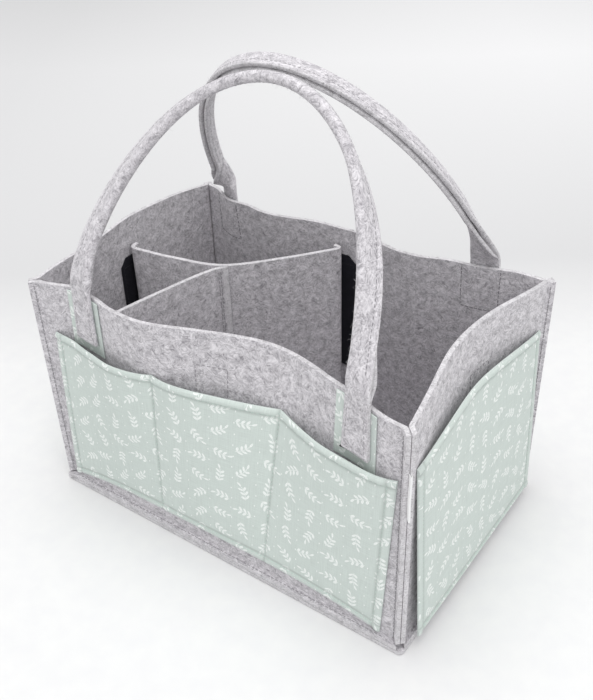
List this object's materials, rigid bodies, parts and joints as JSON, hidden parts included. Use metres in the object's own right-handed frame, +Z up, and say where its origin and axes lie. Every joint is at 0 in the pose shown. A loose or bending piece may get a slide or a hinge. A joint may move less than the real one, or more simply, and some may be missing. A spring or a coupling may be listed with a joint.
{
  "type": "felt nursery caddy",
  "caption": "Open felt carry basket with printed cotton pockets outside, folded felt handles that swing out and a branched felt divider that lifts out.",
  "frame": {"origin": "middle of the underside of the base", "axes": "+X to the right along the front, +Y from the front to the back, +Z up"},
  "size_m": [0.3493, 0.2284, 0.3615],
  "materials": {
    "felt": "heathered grey felt",
    "cotton": "pale green printed cotton",
    "hook_tape": "black hook tape",
    "ribbon": "white satin ribbon"
  },
  "bodies": {
    "caddy": {"base_panel": "felt", "front_wall": "felt", "right_end_wall": "felt", "back_wall": "felt", "left_end_wall": "felt", "front_left_strap_end": "felt", "front_right_strap_end": "felt", "back_left_strap_end": "felt", "back_right_strap_end": "felt", "front_pocket": "cotton", "right_end_pocket": "cotton", "back_pocket": "cotton", "left_end_pocket": "cotton", "front_left_strap_patch": "cotton", "front_right_strap_patch": "cotton", "back_left_strap_patch": "cotton", "back_right_strap_patch": "cotton", "front_hook_tape": "hook_tape", "right_end_hook_tape": "hook_tape", "back_hook_tape": "hook_tape", "left_end_hook_tape": "hook_tape", "seam_tag": "ribbon"},
    "front_handle": {"front_handle": "felt"},
    "back_handle": {"back_handle": "felt"},
    "divider": {"divider_long_panel": "felt", "divider_front_arm": "felt"}
  },
  "joints": [
    {"name": "front_handle_swing", "type": "hinge", "parent": "caddy", "child": "front_handle", "pos_m": [0, -0.10654, 0.20321], "axis": [1, 0.0032, 0], "range_deg": [0, 150]},
    {"name": "back_handle_swing", "type": "hinge", "parent": "caddy", "child": "back_handle", "pos_m": [0, 0.10409, 0.2032], "axis": [-1, -0.0082, 0], "range_deg": [0, 150]},
    {"name": "divider_lift", "type": "slide", "parent": "caddy", "child": "divider", "axis": [0.1483, 0, 0.9889], "range_m": [0, 0.1]}
  ]
}
